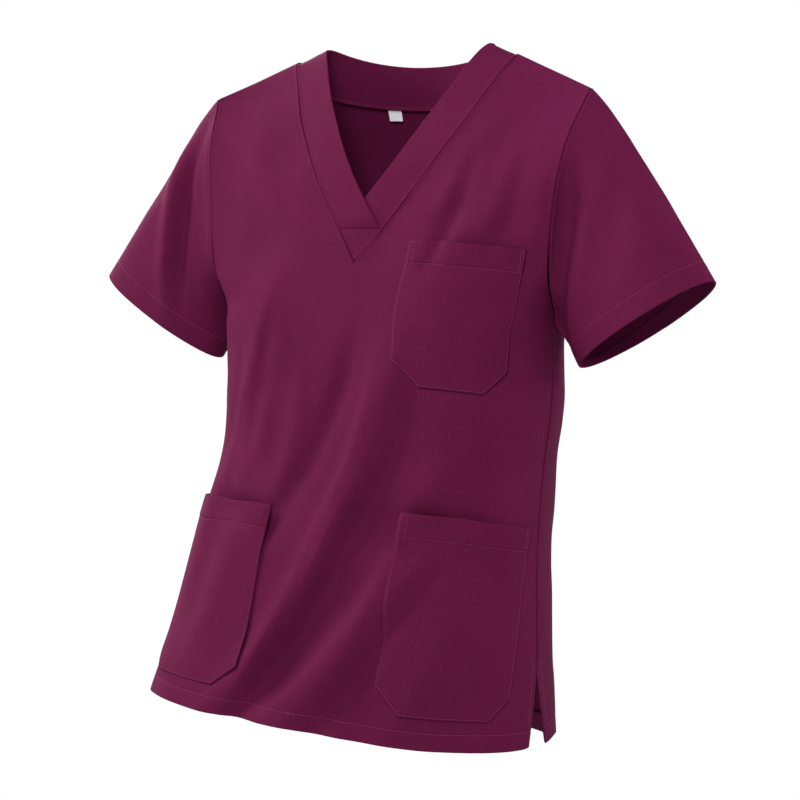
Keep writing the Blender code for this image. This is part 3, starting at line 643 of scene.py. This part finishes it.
# ==== body panels
def panel_grid(side, front):
    """u and z of half a panel, rows from the hem up and columns outwards."""
    across = spacing(*PANEL_ACROSS)
    heights = HEM_Z + (LEVEL_Z - HEM_Z) * spacing(LEVEL_Z - HEM_Z, *PANEL_UP)
    fan = 1 - (1 - np.linspace(0, 1, FAN_ROWS)[1:]) ** FAN_POWER
    start = float(u_at(SEAM_HALF, SEAM_TOP_Z, front))
    if front:
        z_top = ridge_top(start + (1 - start) * across)
    else:
        neck = int(np.searchsorted(across, NECK_SHARE))
        x, z = back_seam(across[:neck + 1] / across[neck] * pi / 2)
        over = start + (1 - start) * (across[neck + 1:] - across[neck]) / (1 - across[neck])
        u_top = np.concatenate([u_at(x, z, False), over])
        z_top = np.concatenate([z, ridge_top(over)])
    z = np.concatenate([np.repeat(heights[:, None], len(across), 1),
                        LEVEL_Z + (z_top - LEVEL_Z) * fan[:, None]])
    if front:
        first = z[:, :1]
        start = np.where(first > V_Z, u_at(neck_seam_x(first), first, True), 0.0)
        u = start + (1 - start) * across
    else:
        u = across + (u_top - across) * np.append(np.zeros(len(heights)), fan)[:, None]
    return (u if side > 0 else -u), z


def pocket_tucks(u, z):
    """How far the front stands back above the pockets' tops."""
    out = np.zeros(np.shape(z))
    for name, side, _, _, (row, inner, outer, drop_in, drop_out) in POCKETS:
        for which, deep, reach, start, stop in TUCKS:
            if which == name:
                share = (u * side - inner) / (outer - inner)
                above = z - (row - drop_in - (drop_out - drop_in) * np.clip(share, 0, 1))
                band = (ease(share, start, start + TUCK_FADE)
                        * (1 - ease(share, stop - TUCK_FADE, stop)))
                out = out + (deep * band * np.exp(-np.maximum(above + TUCK_LIP, 0) / reach)
                             * ease(above, *TUCK_FOOT))
    return out


def panel_points(side, front):
    """Half a panel with its relief: points, normals, places on the cut, and the distances from
    its hem and from its inner edge."""
    u, z = panel_grid(side, front)
    base, out = body(u, z, front), normals(u, z, front)
    across, up = lengths(base, 1), lengths(base, 0)
    from_side = across[:, -1:] - across
    from_top = up[-1:] - up
    closed = ease(z, VENT_Z - VENT_CALM, VENT_Z + VENT_CALM)
    calm = ease(from_top, 0, WAVE_CALM) * ease(from_side, 0, SIDE_CALM)
    relief = waves(side * across, up) * calm
    relief = relief + seam_dip(from_side, "side") * closed * ease(from_top, 0, SEAM_CALM)
    low = closed * ease(z, PIT_Z, PIT_Z - PIT_CALM)
    seam, inward = SIDE_SEAM["front" if front else "back"]
    for high, at, wide in seam:
        relief = relief + high * bell(from_side, at, wide) * low
    relief = relief + sewn(up, HEM_STITCH, across * side, "hem")
    if front:
        neck = np.where(z[:, :1] > V_Z - 1e-6, across, 1.0)
        relief = relief + seam_dip(neck, "neck") * ease(from_top, 0, NECK_CALM) - pocket_tucks(u, z)
    else:
        relief = relief + seam_dip(from_top, "back_neck") * (np.abs(base[-1:, :, 0]) < SEAM_HALF)
    points = base + out * relief[..., None]
    # front and back part a little where they meet, on the shoulders and at the sides
    step = base[-2] - base[-1]
    steep = np.abs(step[:, 2]) / np.linalg.norm(step, axis=1)
    points[-1, :, 1] += (-1 if front else 1) * (GAP / 2 + THICK / 2 * steep)
    points[:, -1] += unit(points[:, -2] - points[:, -1]) * (GAP / 2 + inward * low[:, -1:])
    return points, out, np.stack([across * side, up], -1), up, across


def side_turn(points, out, flat, side):
    """The seam allowance turned in along a panel's side, and its places on the cut."""
    across = flat[0, :, 0] * side
    keep = len(across) - int(np.searchsorted(across, across[-1] - ALLOWANCE))
    grid = turned(from_edge(points), from_edge(out), keep, TURN["side"]).transpose(1, 0, 2)
    return grid, flat_on(flat[:, -1:], lengths(grid, 1) * side, 0)


def hem_turn(points, out, flat, stitch, gap):
    """A hem turned up to just past its stitches, and its places on the cut."""
    keep = int(np.searchsorted(flat[:, 0, 1], stitch + PAST_STITCH))
    grid = turned(points, out, keep, gap)
    return grid, flat_on(flat[:1], -lengths(grid, 0), 1)


def build_panel(name, front):
    """The front or the back: its cloth, and the stitches along its hem and vents."""
    grids, lines = [], []
    for side in (1, -1):
        points, out, flat, up, across = panel_points(side, front)
        grids += [(points, flat), side_turn(points, out, flat, side),
                  hem_turn(points, out, flat, HEM_STITCH, TURN["hem"])]
        on = points + out * THICK / 2
        low, high = HEM_STITCH + VENT_SEWN[0], VENT_Z + VENT_SEWN[1]
        rows = (up[:, 0] > low) & (points[:, -1, 2] < high)
        inward = (across[:, -1:] - across).T[::-1]
        lines += [line_at(on, out, up, HEM_STITCH),
                  line_at(from_edge(on)[:, rows], from_edge(out)[:, rows], inward[:, rows],
                          VENT_STITCH)]
    return scrub(name, grids), sewing(name, lines)


# ==== sleeves
def armhole_loop(side):
    """The armhole from the shoulder down the front and up the back, with its angles."""
    z = PIT_Z + (ridge(TIP_HALF) - PIT_Z) * np.linspace(0, 1, ARMHOLE_STEPS)
    share = np.linspace(0, 1, ARMHOLE_HALF + 1)
    loop, angles = [], []
    for front, first in ((True, 0.0), (False, pi)):
        run = body(np.full(len(z), float(side)), z, front)
        if front:
            run = run[::-1]
        far = lengths(run, 0)
        loop += list(sample(share * far[-1], far, run)[:-1])
        angles += list(first + pi * share[:-1])
    return np.array(loop), np.array(angles)


def sleeve_surface(side):
    """Rows from the cuff up to the armhole, and the columns' angles round it."""
    start, angles = armhole_loop(side)
    mid, half = (CUFF_TOP + CUFF_UNDER) / 2, (CUFF_TOP - CUFF_UNDER) / 2
    bow = np.where(angles <= pi, CUFF_FRONT, CUFF_BACK)[:, None]
    flip = np.array([side, 1, 1])
    up, fore = np.cos(angles)[:, None], np.sin(angles)[:, None]
    end = (mid + half * up - np.array([0, 1.0, 0]) * bow * fore) * flip
    leave = (np.where(up > 0, LEAVE_TOP, LEAVE_UNDER) * up ** 2
             + np.where(fore > 0, LEAVE_FRONT, LEAVE_BACK) * fore ** 2)
    leave = unit(leave) * flip
    longer, longer_top, wider = CUFF_SHIFT[side]
    end = end + ARM * flip * (longer + longer_top * up)
    end = end + CUFF_OUT * flip * wider * np.maximum(up, 0)
    length = np.linalg.norm(end - start, axis=1, keepdims=True)
    pull = PULL - PULL_TOP * np.maximum(up, 0) ** 2
    start = start + leave * (GAP + RIM) + flip * PIT_OUT * np.maximum(-up, 0) ** PIT_POWER
    rows = []
    for s in 1 - spacing(*SLEEVE_UP):
        rows.append((1 + 2 * s) * (1 - s) ** 2 * start + s * (1 - s) ** 2 * leave * length * pull
                    + s * s * (3 - 2 * s) * end + s * s * (s - 1) * ARM * flip * length)
    return np.array(rows), angles


def build_sleeve(name, side):
    """A sleeve: its cloth, and the stitches round its hem."""
    base, angles = sleeve_surface(side)
    out = grid_normals(base, closed=True)
    out = out * np.sign(np.mean(np.sum(out * (base - base.mean(axis=1, keepdims=True)), -1)))
    up, across = lengths(base, 0), lengths(base, 1)
    from_top = up[-1:] - up
    relief = waves(across, up) * ease(from_top, 0, WAVE_CALM) * SLEEVE_WAVES
    turn = np.where(angles > 1.5 * pi, angles - 2 * pi, angles)[None, :]
    calm = (1 - HEM_CALM * ease(up, CUFF_CALM, 0)) * ease(from_top, 0.0, ARMHOLE_CALM)
    relief = relief + fold_sum(from_top, turn, FOLDS[name]) * calm
    relief = relief + seam_dip(from_top, "side") + sewn(up, CUFF_STITCH, across, "hem")
    points = base + out * relief[..., None]
    flat = np.stack([across, up], -1)
    grids = [(points, flat), hem_turn(points, out, flat, CUFF_STITCH, TURN["cuff"])]
    line = line_at(points + out * THICK / 2, out, up, CUFF_STITCH)
    return (scrub(name, grids, closed=True),
            sewing(name, [tuple(np.append(row, row[:1], 0) for row in line)]))


# ==== neckband
def band_surface(side, over):
    """Rows along the band from the shoulder down, columns from the seam to the free edge."""
    top = float(ridge_top(u_at(SEAM_HALF, SEAM_TOP_Z, True)))
    low, count = (BAND_END_Z, OVER_ROWS) if over else (V_Z, UNDER_ROWS)
    seam_z = top + (low - top) * np.linspace(0, 1, count)
    seam_x = side * neck_seam_x(seam_z)
    upper = seam_z >= BAND_END_Z - 1e-9
    share = np.clip((seam_z - top) / (BAND_END_Z - top), 0, 1)
    edge_z = share * NECK_EDGE[0][0]
    edge_x = np.where(upper, side * smooth(edge_z, NECK_EDGE, 1), -seam_x)
    edge_z = np.where(upper, edge_z, seam_z)
    k = spacing(*BAND_ACROSS)
    x = seam_x[:, None] + (edge_x - seam_x)[:, None] * k
    z = seam_z[:, None] + (edge_z - seam_z)[:, None] * k
    u = u_at(x, z, True)
    return body(u, z, True), normals(u, z, True), z, upper


def rounded_corner(points):
    """Rounds the bands' point at the shoulder and hollows them a little beside it."""
    for at, deep, wide in SHOULDER_DIPS:
        near = (np.abs(points[..., 0]) - at) ** 2 + (points[..., 1] - NECK_Y) ** 2
        points[..., 2] -= deep * np.exp(-near / wide ** 2)
    return points


def shoulder(k):
    """Where a front band meets the back one, from the panels' seam to the neckline."""
    low = body(u_at(SEAM_HALF, SEAM_TOP_Z, False), SEAM_TOP_Z, False)
    high = np.array([NECK_HALF, NECK_Y, 0.0])
    return low + (high - low) * k[..., None]


def build_front_band(name, side, over):
    """A length of the neckband down the V: the one that lies over, or the one under it."""
    base, out, z, upper = band_surface(side, over)
    along, across = lengths(base, 0), lengths(base, 1)
    lift = (OVER_LIFT if over else 0.0) * ease(z, OVER_FROM, OVER_TO)
    relief = (lift + seam_dip(across, "band") * ease(along, 0, NECK_CALM)
              + BAND_WAVES * waves(along, across))
    relief = (relief + BAND_LIFT) * ease(along, 0, BAND_CALM)
    if over:
        relief = relief - END_DOWN * bell(along[-1:] - along, 0, END_WIDE)
    meet = shoulder(across[0] / across[0, -1]) * np.array([side, 1, 1]) - base[0]
    meet = meet * ease(across[0], 0.0, BAND_CALM)[:, None]
    points = base + out * relief[..., None] + meet * (1 - ease(along, 0, MEET_CALM))[..., None]
    points = rounded_corner(points)
    points[:, 0] += unit(points[:, 1] - points[:, 0]) * GAP
    if not over:
        # below the crossing both edges are sewn, down to the V's tip
        tip = int(np.sum(upper))
        other = across[tip:, -1:] - across[tip:]
        points[tip:] += out[tip:] * seam_dip(other, "tip")[..., None]
        points[tip:-1, -1] += unit(points[tip:-1, -2] - points[tip:-1, -1]) * GAP
        points[-1, :, 2] += 2 * GAP
    points[0, :, 1] -= SHOULDER_GAP
    flat = np.stack([across, along], -1)
    # the inner layer ends short of the over band's flat end
    rows = int(np.sum(along[-1:, 0] - along[:, 0] > END_SHORT)) if over else int(np.sum(upper))
    inner = turned(from_edge(points[:rows]), from_edge(out[:rows]), points.shape[1] - 3,
                   TURN["band"]).transpose(1, 0, 2)
    return scrub(name, [(points, flat), (inner, flat_on(flat[:rows, -1:], lengths(inner, 1), 0))])


def build_back_band():
    """The neckband's length round the back, from shoulder to shoulder."""
    angle = np.linspace(0, 1, BACK_COLUMNS) * pi / 2
    x, z = back_seam(angle)
    seam = body(u_at(x, z, False), z, False)
    edge = np.stack([NECK_HALF * np.sin(angle),
                     NECK_Y + (BACK_EDGE_Y - NECK_Y) * np.cos(angle) ** BACK_EDGE_SWEEP,
                     BACK_EDGE_Z * np.cos(angle) ** BACK_EDGE_DIP], -1)
    half = seam + (edge - seam) * spacing(*BACK_BAND_ACROSS)[:, None, None]
    half[:, -1, 1] += SHOULDER_GAP
    base = np.concatenate([(half * np.array([-1, 1, 1]))[:, :0:-1], half], axis=1)
    out = grid_normals(base, closed=False)
    out = out * np.sign(np.mean(out[..., 1]))
    wide, along = lengths(base, 0), lengths(base, 1)
    relief = seam_dip(wide, "back_band") + BAND_LIFT + BAND_WAVES * waves(along, wide)
    relief = relief * ease(np.minimum(along, along[:, -1:] - along), 0, BAND_CALM)
    points = rounded_corner(base + out * relief[..., None])
    points[0] += unit(points[1] - points[0]) * (GAP / 2 + RIM)
    flat = np.stack([along, wide], -1)
    # the inner layer ends in a pressed edge that stands in over the seam
    inner = turned(points[::-1], out[::-1], len(points) - 1, TURN["back_band"])
    reach = lengths(inner, 0)
    stand = STAND * bell(reach[-1:] - reach, 0, STAND_WIDE)
    rolled = len(ROLL) + 1
    inner[rolled:] -= stand[rolled:, :, None] * out[::-1]
    # and laps over the panel's inside
    down = unit(inner[-1] - inner[-2])
    lap = np.array([inner[-1] + down * s - out[0] * k for s, k in LAP])
    inner = np.concatenate([inner, lap])
    return scrub("neckband_back", [(points, flat),
                                   (inner, flat_on(flat[-1:], lengths(inner, 0), 1))])


# ==== pockets
def pocket_place(side, foot, top, share, row):
    """u and z on the front of places a share of the way across a pocket, on its rows."""
    foot, top = np.array(foot), np.array(top)
    t = (np.asarray(row, float) - foot[0]) / (top[0] - foot[0])
    inner, outer, drop_in, drop_out = (foot[k] + (top[k] - foot[k]) * t for k in range(1, 5))
    return side * (inner + (outer - inner) * share), row - drop_in - (drop_out - drop_in) * share


def pocket_width(side, foot, top, row):
    """The pocket's width over the cloth along a row."""
    shares = np.linspace(0, 1, WIDTH_STEPS)
    run = np.array([body(*pocket_place(side, foot, top, s, row), True) for s in shares])
    return lengths(run, 0)[-1]


def pocket_relief(a, b, wide, tall, hem):
    """Height of a pocket's outer face over the front, from its outline and stitching."""
    cut = CORNER * math.sqrt(0.5)
    corner_in = np.where(b < CORNER, (a + b) / math.sqrt(2) - cut, 1.0)
    corner_out = np.where(b < CORNER, (wide - a + b) / math.sqrt(2) - cut, 1.0)
    d = np.minimum(np.minimum(np.minimum(a, wide - a), b), np.minimum(corner_in, corner_out))
    d = np.maximum(d, 0)
    from_top = tall - b
    lift = EDGE_LIFT + FACE_LIFT * (1 - bell(d, 0, LIFT_WIDE))
    lift = lift + sewn(d, EDGE_STITCH, a + b, "edge") + sewn(from_top, hem, a, "mouth")
    lift = lift + MOUTH_LIFT * ease(from_top, hem, hem - PAST_STITCH)
    gape = np.sin(pi * np.clip(a / wide, 0, 1)) ** GAPE_POWER
    return lift + GAPE * bell(from_top, 0, GAPE_DOWN) * gape


def build_pocket(name, side, hem, foot, top):
    """A patch pocket: its cloth, and the stitches round it and along its hem."""
    tall = top[0] - foot[0]

    def spots(a, b):
        """Points and normals of the outer face, a from its inner side and b up from its foot."""
        wide = pocket_width(side, foot, top, foot[0] + b)
        u, z = pocket_place(side, foot, top, a / wide, foot[0] + b)
        out = normals(u, z, True)
        return body(u, z, True) + out * pocket_relief(a, b, wide, tall, hem)[..., None], out

    def wide_at(b):
        return float(pocket_width(side, foot, top, foot[0] + b))

    across = spacing(*POCKET_ACROSS)
    a, b = [], []
    for up in spacing(tall, *POCKET_UP) * tall:
        cut = max(CORNER - up, 0)
        a.append(cut + (wide_at(up) - 2 * cut) * across)
        b.append(np.full(len(across), up))
    a, b = np.array(a), np.array(b)
    points, out = spots(a, b)
    flat = np.stack([side * a, b], -1)
    keep = int(np.sum(b[:, 0] > tall - hem - PAST_STITCH))
    inner = turned(points[::-1], out[::-1], keep, TURN["mouth"])
    made = scrub(name, [(points, flat), (inner, flat_on(flat[-1:], lengths(inner, 0), 1))])

    def line(corners, count):
        """A stitched line through places given as metres from the inner side and height."""
        corners = np.array(corners, float)
        far = lengths(corners, 0)
        s = np.unique(np.concatenate([np.linspace(0, far[-1], count), far]))
        on, normal = spots(np.interp(s, far, corners[:, 0]), np.interp(s, far, corners[:, 1]))
        return on + normal * THICK / 2, normal

    e, bx = EDGE_STITCH, BOX_STITCH
    low, high, at_hem = wide_at(0), wide_at(tall), tall - hem
    cut = e * (math.sqrt(2) - 1)
    outline = [(e, tall - e), (e, CORNER + cut), (CORNER + cut, e), (low - CORNER - cut, e)]
    outline += [(wide_at(b) - e, b) for b in np.linspace(CORNER + cut, tall - e, SIDE_STEPS)]
    hem_wide = wide_at(at_hem)
    lines = [(outline, OUTLINE_STEPS), ([(e, at_hem), (hem_wide - e, at_hem)], MOUTH_STEPS),
             ([(e, tall - e), (bx, tall - e), (bx, at_hem)], BOX_STEPS),
             ([(high - e, tall - e), (high - bx, tall - e), (hem_wide - bx, at_hem)], BOX_STEPS)]
    return made, sewing(name, [line(*corners) for corners in lines])


# ==== label
def build_label():
    """The bare size label, hanging from the back neck's seam inside the back."""
    wide, tall = LABEL
    across, down = np.meshgrid(np.linspace(-0.5, 0.5, 25), np.linspace(0, 1, 19))
    x = LABEL_X + wide * across
    z = BACK_SEAM_Z - LABEL_DROP - tall * down
    u = u_at(x, z, False)
    least, foot, sides = LABEL_LIFT
    lift = least + foot * down ** 2 + sides * across ** 2
    points = body(u, z, False) - normals(u, z, False) * lift[..., None]
    flat = np.stack([x - LABEL_X, z], -1)
    return place(cloth("size_label_cloth", [(points, flat)], LABEL_CLOTH, thick=LABEL_THICK),
                 "size_label")


front, front_sewing = build_panel("front_panel", True)
back, back_sewing = build_panel("back_panel", False)
left, left_sewing = build_sleeve("sleeve_left", 1)
right, right_sewing = build_sleeve("sleeve_right", -1)
band_right = build_front_band("neckband_right", -1, True)
band_left = build_front_band("neckband_left", 1, False)
band_back = build_back_band()
pockets = {row[0]: build_pocket(*row) for row in POCKETS}
label = build_label()


# ==== floor, light and camera
AIM = Vector((0.0, 0.0, -0.35))
AZIMUTH, ROLL_ANGLE, AWAY, FOCAL_PX, FRAME_PX = 31.0, 3.1, 2.13, 2130.0, 800.0
AIM_PX = (389.5, 395.0)
SENSOR = 36.0
FLOOR_Z, FLOOR_RADIUS, FLOOR_TONE = -1.45, 3.3, 0.56
# white at eye level, then above and below: from, to, how dim
SKY = [(0.20, 0.22, 0.05), (-0.24, -0.27, 0.50)]
LIGHT_AWAY, LIGHT_SIZE = 2.4, 0.9
# name, degrees right of the camera and up, watts
LIGHTS = [("key", -98, 30, 61.5), ("front", -12, 32, 40.5), ("fill", 80, 30, 33.0),
          ("behind", -148, 35, 46.0)]
facing = math.radians(AZIMUTH)
BACK = Vector((math.sin(facing), -math.cos(facing), 0.0))
RIGHT = Vector((math.cos(facing), math.sin(facing), 0.0))
UP = Vector((0.0, 0.0, 1.0))


def stage():
    """A pale floor, well below the part."""
    bpy.ops.mesh.primitive_circle_add(vertices=96, radius=FLOOR_RADIUS, fill_type="NGON",
                                      location=(0, 0, FLOOR_Z))
    floor = bpy.context.object
    floor.name = "floor"
    pale, _, main = shader("floor_paint", 0.9)
    put(main, {"Base Color": (*[FLOOR_TONE] * 3, 1), "Specular IOR Level": 0.1})
    floor.data.materials.append(pale)


def area_light(name, turn, rise, watts):
    """A soft square light that looks at the part."""
    turn, rise = math.radians(turn), math.radians(rise)
    level = BACK * math.cos(turn) + RIGHT * math.sin(turn)
    data = bpy.data.lights.new(name, "AREA")
    data.shape = "SQUARE"
    data.size = LIGHT_SIZE
    data.energy = watts
    lamp = add(name, data)
    lamp.location = AIM + (level * math.cos(rise) + UP * math.sin(rise)) * LIGHT_AWAY
    lamp.rotation_mode = "QUATERNION"
    lamp.rotation_quaternion = (AIM - lamp.location).to_track_quat("-Z", "Y")


def lights():
    """White all round at eye level, dim above and below, and a soft light at each side."""
    scene = bpy.context.scene
    world = bpy.data.worlds.new("studio")
    scene.world = world
    world.use_nodes = True
    new, link = world.node_tree.nodes.new, world.node_tree.links.new
    sky = world.node_tree.nodes["Background"]
    where, split, both = (new("ShaderNode" + kind) for kind in ("TexCoord", "SeparateXYZ", "Math"))
    both.operation = "MULTIPLY"
    link(where.outputs["Generated"], split.inputs["Vector"])
    for k, (start, stop, low) in enumerate(SKY):
        fall = new("ShaderNodeMapRange")
        fall.interpolation_type = "SMOOTHSTEP"
        put(fall, {"From Min": start, "From Max": stop, "To Min": 1.0, "To Max": low})
        link(split.outputs["Z"], fall.inputs["Value"])
        link(fall.outputs["Result"], both.inputs[k])
    link(both.outputs[0], sky.inputs["Color"])
    for row in LIGHTS:
        area_light(*row)
    scene.view_settings.view_transform = "Standard"
    scene.view_settings.look = "None"
    scene.view_settings.exposure = 0.0


def camera():
    """The photograph's view."""
    data = bpy.data.cameras.new("camera")
    data.sensor_width = SENSOR
    data.sensor_fit = "HORIZONTAL"
    data.lens = FOCAL_PX / FRAME_PX * SENSOR
    data.shift_x = (FRAME_PX / 2 - AIM_PX[0]) / FRAME_PX
    data.shift_y = (AIM_PX[1] - FRAME_PX / 2) / FRAME_PX
    data.clip_start, data.clip_end = 0.05, 50.0
    made = add("camera", data)
    made.rotation_mode = "QUATERNION"
    made.location = AIM + BACK * AWAY
    turn = Matrix((RIGHT, UP, BACK)).transposed().to_quaternion()
    roll = Matrix.Rotation(math.radians(ROLL_ANGLE), 3, "Z").to_quaternion()
    made.rotation_quaternion = turn @ roll
    bpy.context.scene.camera = made


stage()
lights()
camera()
